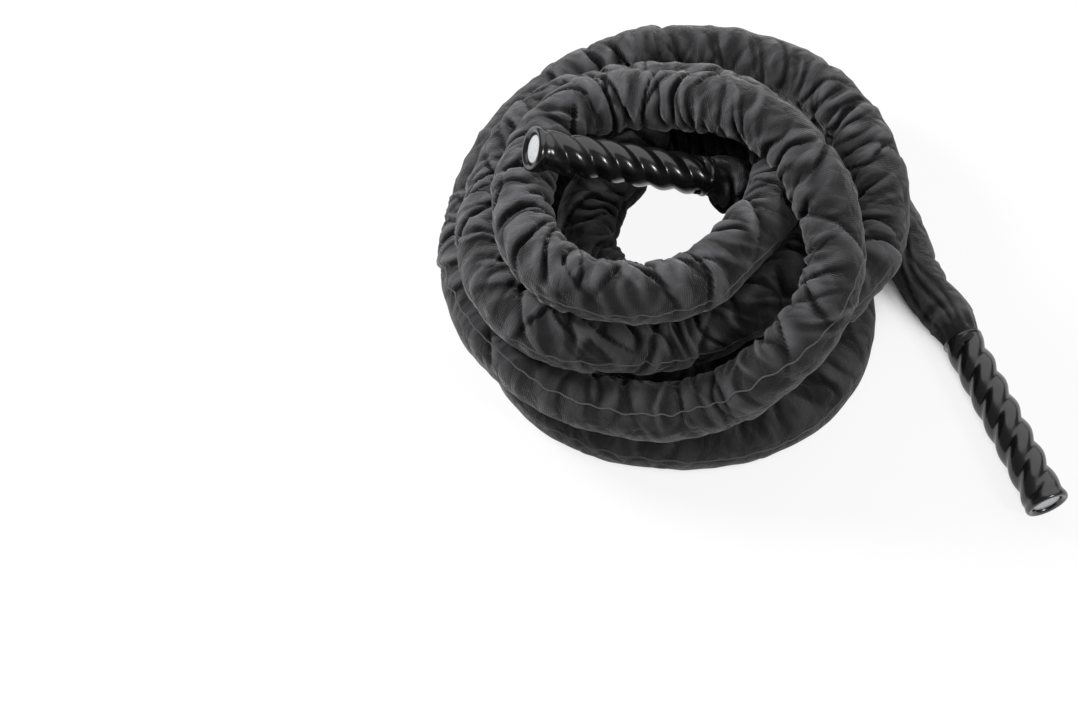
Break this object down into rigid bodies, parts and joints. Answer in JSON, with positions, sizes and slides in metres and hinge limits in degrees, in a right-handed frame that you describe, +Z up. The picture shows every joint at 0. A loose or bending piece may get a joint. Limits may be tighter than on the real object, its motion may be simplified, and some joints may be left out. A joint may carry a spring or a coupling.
{
  "type": "battle rope",
  "caption": "Thick sleeved training rope lying in a loose coil, with a heat-shrunk hand grip on each end.",
  "frame": {"origin": "middle of the underside of the whole coiled rope, on the floor", "axes": "+Z up, away from the floor; +X to the right in the picture, towards the side where the tail leaves the coil; +Y away from the camera"},
  "size_m": [0.8428, 0.7302, 0.3186],
  "materials": {
    "sleeve": "matte woven nylon",
    "rope": "matte polyester fibre",
    "grip": "glossy heat-shrink tube",
    "tape": "satin binding tape",
    "disc": "pale glossy disc"
  },
  "bodies": {
    "root": {"sleeve_coil": "sleeve", "sleeve_tail": "sleeve", "sleeve_top_end": "sleeve", "rope_core_coil": "rope", "rope_core_tail": "rope", "rope_core_top_end": "rope", "grip_a": "grip", "grip_b": "grip", "strand_a_1": "rope", "strand_a_2": "rope", "strand_a_3": "rope", "strand_b_1": "rope", "strand_b_2": "rope", "strand_b_3": "rope", "end_tape_a": "tape", "end_tape_b": "tape", "end_disc_a": "disc", "end_disc_b": "disc"}
  },
  "joints": []
}
